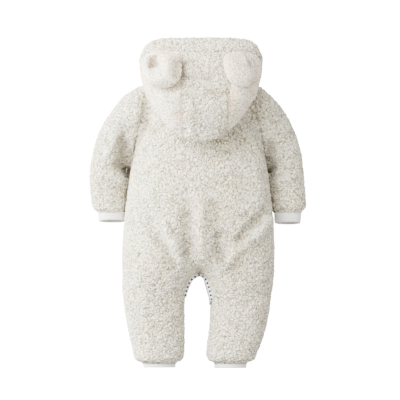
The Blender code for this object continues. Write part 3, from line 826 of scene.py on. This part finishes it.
    def raise_pile(self, surface: Surface) -> tuple[np.ndarray, np.ndarray]:
        """Moves the surface's points out to the pile's height, and into its creases and seams.

        Args:
            surface: The refined surface.

        Returns:
            The pile's height for each vertex, 0.5 where there is none, and how much painted shade darkens it.
        """
        normals = surface.normals()
        heights = np.full(len(surface.points), 0.5)
        painted_shade = np.zeros(len(surface.points))
        which = np.flatnonzero(surface.carried)
        moved = np.zeros(len(which))
        if self.pile is not None:
            heights[which] = self.pile.heights(surface.points[which])
            moved += self.pile.depth_mm * MM * (heights[which] - 1 + self.pile.level)
        for crease in self.creases:
            share = crease.share(surface.points[which], normals[which])
            moved -= crease.depth_mm * MM * share
            # Painted shade in each crease's valley.
            painted_shade[which] += crease.painted_shade * share
        # Painted shade from occlusion: rays find other cloth standing close in front of the pile, and the pile is
        # darkened there.
        painted_shade[which] += self.occlusion_shade * np.array(Surroundings.crowding(surface.points[which], normals[which]))
        seams = np.flatnonzero(surface.border)
        if len(seams) and self.seam_mm:
            tree = KDTree(len(seams))
            for n, i in enumerate(seams):
                tree.insert(surface.points[i], n)
            tree.balance()
            away = np.array([tree.find(surface.points[i])[2] for i in which])
            moved -= self.seam_mm * MM * np.exp(-((away / self.SEAM_WIDTH) ** 2))
            # Painted shade along the seams.
            painted_shade[which] += self.SEAM_SHADE * self.seam_mm * np.exp(-((away / self.SEAM_SHADE_WIDTH) ** 2))
        for node in self.under:
            tree = solid_tree(node)
            for n, i in enumerate(which):
                away = tree.find_nearest(Vector(surface.points[i]), 2 * self.PRESS_REACH)[3]
                if away is not None:
                    share = min(2 - away / self.PRESS_REACH, 1.0)
                    moved[n] += (-self.PRESS_DEPTH - moved[n]) * share
        deepest = -self.DEEPEST * self.wall_mm * MM
        surface.points[which] += normals[which] * np.maximum(moved, deepest)[:, None]
        return np.clip(heights, 0.0, 1.0), np.clip(painted_shade, 0.0, 1.0)


@dataclass
class Garment:
    """The fleece body, sleeves and hood."""

    curls: Pile = Pile()
    side_curls: Pile = Pile(clump_mm=6.5, depth_mm=2.0, drift_share=0.12, level=0.45)
    hood_seam_mm: float = 1.2

    def pieces(self) -> list[ClothPiece]:
        """Lists the pieces with the sizes of their cuts.

        Returns:
            One piece for each solid of the body, sleeves and hood.
        """
        return [
            ClothPiece("back_panel", "fleece", (0.40, 0.62), 0.212, pile=self.curls, creases=BACK_CREASES,
                       under=("inseam_facing",), occlusion_shade=0.8),
            ClothPiece("front_panel_left", "fleece", (0.215, 0.60), 0.108, pile=self.curls, furry_edge=True,
                       under=tuple(f"front_snap_{n}" for n in range(1, 6))),
            ClothPiece("front_panel_right", "fleece", (0.20, 0.60), 0.101, pile=self.curls),
            ClothPiece("sleeve_left", "fleece", (0.26, 0.27), 0.0565, pile=self.curls, creases=SLEEVE_CREASES,
                       occlusion_shade=0.52),
            ClothPiece("sleeve_right", "fleece", (0.26, 0.25), 0.0525, pile=self.curls, creases=SLEEVE_CREASES,
                       occlusion_shade=0.52),
            ClothPiece("hood_centre", "fleece", (0.13, 0.33), 0.032, pile=self.curls, seam_mm=self.hood_seam_mm,
                       creases=HOOD_CREASES, held=Held.FOLDED),
            ClothPiece("hood_side_left", "fleece", (0.20, 0.28), 0.036, pile=self.side_curls,
                       seam_mm=self.hood_seam_mm, held=Held.FOLDED),
            ClothPiece("hood_side_right", "fleece", (0.18, 0.26), 0.031, pile=self.side_curls,
                       seam_mm=self.hood_seam_mm, held=Held.FOLDED),
            ClothPiece("hood_band", "fleece", (0.58, 0.034), 0.0165, pile=self.curls, seam_mm=self.hood_seam_mm,
                       side=Side.CONCAVE, furry_edge=True),
        ]


# Creases of the back. The fifth number is painted shade in the valleys of the folds; the two near the top are painted
# shadow under the hood.
BACK_CREASES = (
    Crease((97, -166), (44, -174), 5, 1.6, 0.08),
    Crease((-4, -228), (-4, -352), 9, -4.6),
    Crease((26, -236), (24, -352), 13, 4.0, 0.52),
    Crease((-31, -222), (-34, -270), 9, 2.0, 0.32),
    Crease((-34, -284), (-42, -356), 11, 4.2, 0.64),
    Crease((70, -272), (31, -354), 8, -4.4),
    Crease((90, -290), (44, -362), 9, 3.0, 0.48),
    Crease((-136, -274), (-40, -358), 8, -4.4),
    Crease((-128, -250), (-66, -314), 9, 3.0, 0.48),
    Crease((-96, -316), (-60, -366), 9, 2.0, 0.24),
    Crease((-112, -240), (-66, -298), 6, -2.0),
    Crease((88, -212), (66, -262), 9, 1.8, 0.12),
    Crease((112, -402), (76, -416), 6, 1.2, 0.08),
    Crease((-118, -420), (-74, -436), 6, 1.2, 0.08),
    Crease((112, -60), (94, -88), 9, 1.0, 0.36),
    Crease((-64, -98), (-106, -66), 16, 1.0, 0.32),
)
# Creases of the sleeves. The fifth number is painted shade in the recess beside the body, deepest in the elbow's
# hollow.
SLEEVE_CREASES = (
    Crease((152, -64), (158, -148), 13, 2.2, 0.6),
    Crease((166, -150), (142, -174), 9, 2.0, 0.4),
    Crease((148, -156), (138, -178), 9, 2.0, 1.0),
    Crease((206, -196), (160, -206), 7, 1.4, 0.08),
    Crease((-144, -104), (-148, -168), 9, 2.0, 0.4),
    Crease((-139, -160), (-140, -170), 5, 1.2, 1.0),
    Crease((-178, -128), (-146, -164), 6, 1.6, 0.08),
    Crease((-202, -184), (-150, -200), 6, 1.4, 0.08),
)
# Creases of the hood's centre. The fifth number is painted shade in its two folds, and painted shadow beside the ears.
HOOD_CREASES = (
    Crease((28, 21), (-30, 17), 4, 3.2, 0.48),
    Crease((-16, -9), (-70, -13), 4, 3.0, 0.44),
    Crease((12, -14), (6, -70), 5, 1.4, 0.08),
    Crease((30, 62), (34, 10), 8, 0.6, 0.32),
    Crease((-46, 66), (-48, 0), 6, 0.6, 0.24),
)
# Creases of the left ear. The fifth number is painted shade in its hollow, down its right side and along its lower
# edge.
LEFT_EAR_CREASES = (
    Crease((95, 64), (91, 38), 11, 5.0, 0.6),
    Crease((67, 62), (60, 24), 9, -2.2),
    Crease((45, 58), (48, 14), 11, 1.6, 0.56),
    Crease((58, 6), (96, 4), 8, 0.8, 0.4),
)
# The right ear's hollow, with painted shade in it.
RIGHT_EAR_CREASES = (
    Crease((-107, 62), (-105, 36), 7, 3.6, 0.4),
)


@dataclass
class Ears:
    """The two ears, each of two layers of shorter, smoother fleece."""

    curls: Pile = Pile(clump_mm=5.5, depth_mm=1.5, drift_share=0.1, level=0.5)

    def pieces(self) -> list[ClothPiece]:
        """Lists the four layers.

        Returns:
            The outer and inner layer of the left ear, and then of the right one.
        """
        sizes = {"left": ((0.092, 0.088), 0.0066), "right": ((0.084, 0.080), 0.0053)}
        layers = {"outer": Side.CONVEX, "inner": Side.CONCAVE}
        creases = {"left": LEFT_EAR_CREASES, "right": RIGHT_EAR_CREASES}
        return [
            ClothPiece(
                f"ear_{layer}_{name}", "ear_fleece", flat, area, wall_mm=3.6, pile=self.curls, side=side,
                edge_mm=2.0, seam_mm=0.0, furry_edge=True, held=Held.FOLDED, creases=creases[name],
            )
            for name, (flat, area) in sizes.items()
            for layer, side in layers.items()
        ]


# Small pieces


def only(made: bpy.types.Object) -> None:
    """Selects one object alone and makes it active.

    Args:
        made: The object.
    """
    bpy.ops.object.select_all(action="DESELECT")
    made.select_set(True)
    bpy.context.view_layer.objects.active = made


def settle(made: bpy.types.Object, name: str, node: str, material: bpy.types.Material) -> None:
    """Names a finished piece, dresses it and puts it in the place of its node.

    Args:
        made: The piece.
        name: Its name.
        node: The CAD node that it stands for.
        material: Its finish.
    """
    made.name = made.data.name = name
    made.data.materials.clear()
    made.data.materials.append(material)
    made.data.shade_smooth()
    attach(made, BODY)
    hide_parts(node)


@dataclass
class RibCuff:
    """A rib-knit cuff: a short tube with fine ribs, whose lower edge is folded in.

    Args:
        node: The CAD node that it stands for.
        centre: X and Y of its middle, in millimetres.
        half_width: Half its width along X.
        half_depth: Half its depth along Y.
        top: Its upper end in Z.
        bottom: Its lower end in Z.
        tilt: How much higher its mouth is at the back than in the middle.
        taper: The mouth's size against the top's.
        ribs: How many ribs go round.
        flat: Width and length of the cut, in metres; not used.
        columns_per_rib: How many columns of faces a rib has.
        rows: How many rows of faces go from the top to the mouth.
        wall: The cloth's thickness.
        rib_height: How far a rib stands out.
        fold_depth: How far the mouth turns in.
        fold_start: Where it starts to turn in, from 0 at the top to 1 at the mouth.
        sag: How uneven the mouth is.
        groove_height: The rib's height that the inside shows, from 0 to 1.
    """

    node: str
    centre: tuple[float, float]
    half_width: float
    half_depth: float
    top: float
    bottom: float
    tilt: float
    taper: float
    ribs: int
    flat: tuple[float, float]
    columns_per_rib: int = 6
    rows: int = 9
    wall: float = 2.0
    rib_height: float = 0.5
    fold_depth: float = 1.1
    fold_start: float = 0.8
    sag: float = 0.25
    groove_height: float = 0.3

    def build(self, material: bpy.types.Material) -> bpy.types.Object:
        """Makes the cuff.

        Args:
            material: The rib knit.

        Returns:
            The finished cuff.
        """
        count = self.ribs * self.columns_per_rib
        bpy.ops.mesh.primitive_circle_add(vertices=count, radius=1.0, fill_type="NOTHING", enter_editmode=True)
        for _ in range(self.rows):
            bpy.ops.mesh.extrude_region_move(TRANSFORM_OT_translate={"value": (0, 0, -1.0 / self.rows)})
        bpy.ops.object.mode_set(mode="OBJECT")
        made = bpy.context.object
        heights = self.shape(made.data)
        wall = made.modifiers.new("cloth", "SOLIDIFY")
        wall.thickness = self.wall * MM
        wall.offset = -1.0
        only(made)
        bpy.ops.object.modifier_apply(modifier=wall.name)
        values = np.full(len(made.data.vertices), self.groove_height)
        values[: len(heights)] = heights
        made.data.attributes.new("pile", "FLOAT", "POINT").data.foreach_set("value", values)
        settle(made, f"{self.node}_rib", self.node, material)
        return made

    def shape(self, mesh: bpy.types.Mesh) -> np.ndarray:
        """Puts the tube's points in place.

        Args:
            mesh: A tube of radius 1 and height 1, hanging from Z = 0.

        Returns:
            The rib's height at each point, from 0 to 1.
        """
        heights = np.zeros(len(mesh.vertices))
        for n, vertex in enumerate(mesh.vertices):
            x, y, z = vertex.co
            down = -z
            angle = math.atan2(y, x)
            rib = 0.5 + 0.5 * math.cos(angle * self.ribs)
            scale = 1 + (self.taper - 1) * down
            fold = self.fold_depth * max(0.0, (down - self.fold_start) / (1 - self.fold_start)) ** 2
            sag = self.sag * math.sin(angle * 3 + 1.3) * down
            out = self.rib_height * (rib - 1) - fold + sag
            drop = self.top - 0.3 + (self.bottom - self.top) * down + self.tilt * down * y
            vertex.co = (
                (self.centre[0] + (self.half_width * scale + out) * x) * MM,
                (self.centre[1] + (self.half_depth * scale + out) * y) * MM,
                drop * MM,
            )
            heights[n] = rib
        return heights


@dataclass
class Cuffs:
    """The four rib-knit cuffs."""

    def pieces(self) -> list[RibCuff]:
        """Lists the cuffs with their sizes.

        Returns:
            The sleeves' cuffs and then the legs'.
        """
        return [
            RibCuff("sleeve_cuff_left", (175, -40), 28.9, 26.9, -248, -265.5, 3, 0.95, 62, (0.176, 0.019)),
            RibCuff("sleeve_cuff_right", (-177, -40), 27.9, 26.9, -248, -269.5, 3, 0.95, 60, (0.172, 0.023)),
            RibCuff("leg_cuff_left", (80, 0), 32.9, 37.9, -550, -558, 1, 0.98, 76, (0.222, 0.0105), rows=5),
            RibCuff("leg_cuff_right", (-62, 0), 32.9, 37.9, -550, -559, 1, 0.98, 76, (0.222, 0.0105), rows=5),
        ]


@dataclass
class Snap:
    """A domed press stud with a raised rim.

    Args:
        node: The CAD node that it stands for.
        profile: Radius and height of each ring, in millimetres, from the foot to the dome.
    """

    node: str
    profile: tuple[tuple[float, float], ...] = (
        (5.1, 0.0), (5.5, 0.35), (5.5, 0.95), (5.1, 1.3), (4.5, 1.35), (4.0, 1.1), (3.5, 1.15), (2.6, 1.6),
        (1.5, 1.88), (0.6, 1.97),
    )
    segments: int = 32

    def build(self, material: bpy.types.Material) -> bpy.types.Object:
        """Makes the stud on its CAD node's place.

        Args:
            material: The plastic.

        Returns:
            The finished stud.
        """
        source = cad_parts[self.node].data
        points = np.array([vertex.co for vertex in source.vertices])
        middle = (points.max(axis=0) + points.min(axis=0)) / 2
        _, axes = np.linalg.eigh(np.cov((points - points.mean(axis=0)).T))
        out = Vector(axes[:, 0]) if axes[1, 0] < 0 else -Vector(axes[:, 0])
        radius, _ = self.profile[0]
        bpy.ops.mesh.primitive_circle_add(vertices=self.segments, radius=radius * MM, fill_type="NGON",
                                          enter_editmode=True)
        for (near, low), (far, high) in zip(self.profile, self.profile[1:]):
            bpy.ops.mesh.extrude_region_move(TRANSFORM_OT_translate={"value": (0, 0, (high - low) * MM)})
            bpy.ops.transform.resize(value=(far / near, far / near, 1))
        bpy.ops.object.mode_set(mode="OBJECT")
        made = bpy.context.object
        bm = bmesh.new()
        bm.from_mesh(made.data)
        bmesh.ops.holes_fill(bm, edges=bm.edges)
        bmesh.ops.recalc_face_normals(bm, faces=bm.faces)
        bm.to_mesh(made.data)
        bm.free()
        turn = Vector((0, 0, 1)).rotation_difference(out).to_matrix().to_4x4()
        made.data.transform(Matrix.Translation(Vector(middle) - out * 1.0 * MM) @ turn)
        settle(made, f"{self.node}_stud", self.node, material)
        return made


@dataclass
class StitchLine:
    """A line of sewing on the side of a node that faces the front.

    Args:
        name: The piece's name.
        node: The CAD node that it is sewn on.
        path: Corners of the line in X and Z, in millimetres.
        pitch: The distance from one stitch to the next.
        length: The length of a stitch.
        radius: The thread's radius.
        lift: How far the thread's middle stands off the node.
        flatness: The thread's width against its height.
        gap: The longest distance that a stitch bridges, in pitches.
    """

    name: str
    node: str
    path: tuple[tuple[float, float], ...]
    pitch: float = 3.6
    length: float = 2.8
    radius: float = 0.42
    lift: float = 0.5
    flatness: float = 1.3
    gap: float = 2.5

    def build(self, material: bpy.types.Material) -> bpy.types.Object:
        """Makes the stitches as one mesh.

        Args:
            material: The thread.

        Returns:
            The stitches.
        """
        bpy.ops.mesh.primitive_uv_sphere_add(segments=8, ring_count=5, radius=1.0)
        template = bpy.context.object
        form = np.array([vertex.co for vertex in template.data.vertices])
        faces = [tuple(face.vertices) for face in template.data.polygons]
        bpy.data.objects.remove(template, do_unlink=True)
        tree = solid_tree(self.node)
        found = []
        for (x1, z1), (x2, z2) in zip(self.path, self.path[1:]):
            steps = max(int(math.hypot(x2 - x1, z2 - z1) / self.pitch), 1)
            for n in range(steps):
                share = n / steps
                start = Vector(((x1 + (x2 - x1) * share) * MM, -0.5, (z1 + (z2 - z1) * share) * MM))
                place, normal, _, _ = tree.ray_cast(start, Vector((0, 1, 0)))
                if place is not None:
                    found.append((place + normal * self.lift * MM, normal))
        points, polygons = [], []
        for (here, normal), (ahead, _) in zip(found, found[1:]):
            along = ahead - here
            if along.length > self.pitch * self.gap * MM:
                continue
            along.normalize()
            across = along.cross(normal).normalized()
            up = across.cross(along)
            base = len(points)
            scaled = form * np.array([self.length / 2, self.radius * self.flatness, self.radius]) * MM
            points += [here + along * p[0] + across * p[1] + up * p[2] for p in scaled]
            polygons += [tuple(base + i for i in face) for face in faces]
        mesh = bpy.data.meshes.new(self.name)
        mesh.from_pydata([tuple(p) for p in points], [], polygons)
        made = bpy.data.objects.new(self.name, mesh)
        bpy.context.scene.collection.objects.link(made)
        mesh.materials.append(material)
        mesh.shade_smooth()
        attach(made, BODY)
        return made


FACING_EDGE = (
    (28, 26, -416), (27, 26, -410), (25.5, 26.5, -403), (23.5, 27, -397), (20.5, 27.5, -390), (16.5, 27.5, -383.5),
    (10.5, 26.5, -378), (5, 26, -375), (0, 26, -373.5), (-4.5, 28, -375), (-9, 31, -378), (-13, 33.5, -382.5),
    (-15.5, 35, -388), (-17.5, 36, -394), (-19.5, 36, -401), (-21.5, 35, -409), (-23, 33, -417), (-24, 29.5, -424),
)


@dataclass
class Closure:
    """The dotted facing of the inseam, the press studs and the sewing.

    Args:
        dot_pitch_mm: The distance from one row of dots to the next.
        crotch_z: The height of the crotch, round which the dots run.
        dot_slope: How far the rows run to the back for each step to the side.
        edge_path: Where the facing turns out, round the gap between the legs, in millimetres.
        edge_width_mm: The width of the facing's turned-out edge.
        edge_over_mm: How much of that width lies on the fleece.
        edge_wall_mm: Its thickness.
        edge_lift_mm: How far it stands off the back's solid.
        edge_dip_mm: How far its inner side lies in front of the path.
        first_dot: Where the first dot lies, in rows before the end of the path.
        gap: A place inside the gap between the legs, in millimetres.
    """

    dot_pitch_mm: float = 8.5
    crotch_z: float = -0.372
    dot_slope: float = 0.25
    edge_path: tuple[tuple[float, float, float], ...] = FACING_EDGE
    edge_width_mm: float = 6.0
    edge_over_mm: float = 3.2
    edge_wall_mm: float = 0.8
    edge_lift_mm: float = 1.2
    edge_dip_mm: float = 1.5
    first_dot: float = 0.35
    gap: tuple[float, float, float] = (2, 20, -412)

    def facing(self) -> ClothPiece:
        """The dotted facing round the crotch."""
        return ClothPiece(
            "inseam_facing", "dotted_cotton", (0.042, 0.110), 0.0038, wall_mm=1.2, pile=None,
            edge_mm=4.0, held=Held.FOLDED,
        )

    def map_dots(self, piece: bpy.types.Object) -> None:
        """Lays the print's map on the facing: round the crotch one way and from its edge to the back the other.

        Args:
            piece: The facing.
        """
        mesh = piece.data
        layer = mesh.uv_layers.new(name="dots")
        pitch = self.dot_pitch_mm * MM
        for loop in mesh.loops:
            x, y, z = mesh.vertices[loop.vertex_index].co
            round_crotch = math.copysign(math.hypot(x, z - self.crotch_z), x)
            back = y + self.dot_slope * abs(x)
            layer.data[loop.index].uv = ((round_crotch + back) / pitch + 0.25, (round_crotch - back) / pitch + 0.25)

    def turn_edge(self, piece: bpy.types.Object) -> None:
        """Adds the facing's edge, which turns out over the fleece's edge, so that its print faces the back.

        Args:
            piece: The facing with its map.
        """
        line = [Vector(place) * MM for place in self.edge_path]
        middle = Vector(self.gap) * MM
        tree = solid_tree("back_panel")
        bm = bmesh.new()
        bm.from_mesh(piece.data)
        layer = bm.loops.layers.uv["dots"]
        back = Vector((0, 1, 0))
        rings, run = [], -self.dot_pitch_mm * self.first_dot * MM
        for n, place in enumerate(line):
            before, after = line[max(n - 1, 0)], line[min(n + 1, len(line) - 1)]
            across = (after - before).cross(back).normalized()
            if across.dot(middle - place) < 0:
                across.negate()
            run += (place - before).length if n else 0.0
            outer = place - across * self.edge_over_mm * MM
            hit = tree.ray_cast(outer + back * 0.1, -back, 0.12)[0]
            if hit is not None:
                outer.y = hit.y + self.edge_lift_mm * MM
            inner = place + across * (self.edge_width_mm - self.edge_over_mm) * MM - back * self.edge_dip_mm * MM
            corners = [corner + back * lift * MM for corner in (outer, inner) for lift in (self.edge_wall_mm, 0.0)]
            rings.append((run, [bm.verts.new(corner) for corner in corners]))
        outline = (0, 2, 3, 1)
        for (run, ring), (run_ahead, ring_ahead) in zip(rings, rings[1:]):
            for a, b in zip(outline, outline[1:] + outline[:1]):
                face = bm.faces.new((ring[a], ring[b], ring_ahead[b], ring_ahead[a]))
                for loop, (at, corner) in zip(face.loops, ((run, a), (run, b), (run_ahead, b), (run_ahead, a))):
                    across_mm = self.edge_width_mm * (0.5 if corner > 1 else -0.5)
                    loop[layer].uv = (at / MM / self.dot_pitch_mm, across_mm / self.dot_pitch_mm)
        for _, ring in (rings[0], rings[-1]):
            bm.faces.new([ring[n] for n in outline])
        bmesh.ops.recalc_face_normals(bm, faces=bm.faces)
        bm.to_mesh(piece.data)
        bm.free()

    def snaps(self) -> list[Snap]:
        """The press studs of the front."""
        return [Snap(f"front_snap_{n}") for n in range(1, 6)]

    def stitching(self) -> list[StitchLine]:
        """The lines of sewing."""
        return [
            StitchLine("stitches_of_front_edge", "front_panel_left", ((-10.5, -32), (-10.5, -340))),
            StitchLine("stitches_of_front_lap", "front_panel_left", ((20, -32), (20, -340))),
        ]


# The studio


@dataclass
class Studio:
    """A pale floor, a white backdrop, soft lights and the camera of the photograph.

    Args:
        distance: How far the camera stands behind the garment.
        aim: What it looks at.
        floor_z: The floor's height.
        backdrop_y: Where the backdrop hangs; it is so far off that no camera stands beyond it.
        light_size: The edge of each light.
        sensor: The camera's sensor width, in millimetres.
    """

    distance: float = 12.0
    aim: tuple[float, float, float] = (-0.001, 0.0, -0.223)
    floor_z: float = -0.75
    backdrop_y: float = -14.0
    light_size: float = 1.6
    sensor: float = 36.0

    def build(self) -> None:
        """Makes the floor, backdrop, lights and camera."""
        self.floor()
        self.lights()
        self.camera()

    def floor(self) -> None:
        """A plain pale floor below the hanging garment and a glowing white backdrop far in front of it."""
        pale = Graph("pale studio floor").finish(Base_Color=linear("#f4f4f2"), Roughness=0.9)
        bpy.ops.mesh.primitive_plane_add(size=4.4, location=(0, 0, self.floor_z))
        floor = bpy.context.object
        floor.name = "studio_floor"
        floor.visible_diffuse = False
        floor.data.materials.append(pale)
        glow = Graph("white paper backdrop").finish(Base_Color=linear("#ffffff"), Emission_Color=(1, 1, 1, 1),
                                                    Emission_Strength=17.0)
        bpy.ops.mesh.primitive_plane_add(size=6.0, location=(0, self.backdrop_y, 0), rotation=(math.pi / 2, 0, 0))
        backdrop = bpy.context.object
        backdrop.name = "studio_backdrop"
        backdrop.visible_diffuse = backdrop.visible_glossy = backdrop.visible_shadow = False
        backdrop.data.materials.append(glow)

    def lights(self) -> None:
        """Soft lights from the left of the picture and beside it, a weak one from the camera, and white all round."""
        world = bpy.data.worlds.new("white room")
        world.use_nodes = True
        background = world.node_tree.nodes["Background"]
        background.inputs["Color"].default_value = (1, 1, 1, 1)
        background.inputs["Strength"].default_value = 1.4
        bpy.context.scene.world = world
        for name, place, energy in (
            ("key", (1.9, 2.4, 1.2), 380.0),
            ("window", (3.0, 0.2, 0.8), 520.0),
            ("fill", (0.1, 3.0, 0.5), 65.0),
        ):
            data = bpy.data.lights.new(name, "AREA")
            data.energy = energy
            data.size = self.light_size
            light = bpy.data.objects.new(name, data)
            light.location = place
            aim = Vector(self.aim) - Vector(place)
            light.rotation_euler = aim.to_track_quat("-Z", "Y").to_euler()
            bpy.context.scene.collection.objects.link(light)

    def camera(self) -> None:
        """A long lens straight behind the garment, so that a pixel is 2 mm."""
        data = bpy.data.cameras.new("camera")
        data.sensor_width = self.sensor
        data.lens = self.sensor * self.distance / (PHOTO_SIZE * MM_PER_PIXEL * MM)
        data.clip_end = 100.0
        made = bpy.data.objects.new("camera", data)
        made.location = (self.aim[0], self.distance, self.aim[2])
        made.rotation_euler = (math.pi / 2, 0, math.pi)
        bpy.context.scene.collection.objects.link(made)
        bpy.context.scene.camera = made


def main() -> None:
    """Builds the classes in order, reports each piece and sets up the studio."""
    logging.basicConfig(level=logging.INFO, format="%(name)s: %(message)s")
    noise.seed_set(CURL_SEED)
    bpy.ops.object.select_all(action="DESELECT")
    # The first two colours of each fleece are painted shade for the clefts between its curls.
    fleece = CurlyFleece("cream sherpa fleece", "#5c523a", "#9d9375", "#e5dec3", "#fffbe4").build()
    smooth = CurlyFleece(
        "cream short-pile fleece", "#86745a", "#c4b497", "#ebe1c9", "#fff7e3", "#fff1e5", relief=0.45
    ).build()
    ground = KnittedGround().build()
    rib, cotton = RibKnit().build(), DottedCotton().build()
    made = [
        piece.build(smooth if piece.node.startswith("hood_side") else fleece, ground) for piece in Garment().pieces()
    ]
    made += [piece.build(smooth, smooth) for piece in Ears().pieces()]
    made += [cuff.build(rib) for cuff in Cuffs().pieces()]
    closure = Closure()
    facing = closure.facing().build(cotton, cotton)
    closure.map_dots(facing)
    closure.turn_edge(facing)
    plastic, thread = SnapPlastic().build(), Thread().build()
    made += [facing, *(snap.build(plastic) for snap in closure.snaps())]
    made += [line.build(thread) for line in closure.stitching()]
    for piece in made:
        log.info("%s: %d faces", piece.name, len(piece.data.polygons))
    Studio().build()


if __name__ == "__main__":
    main()
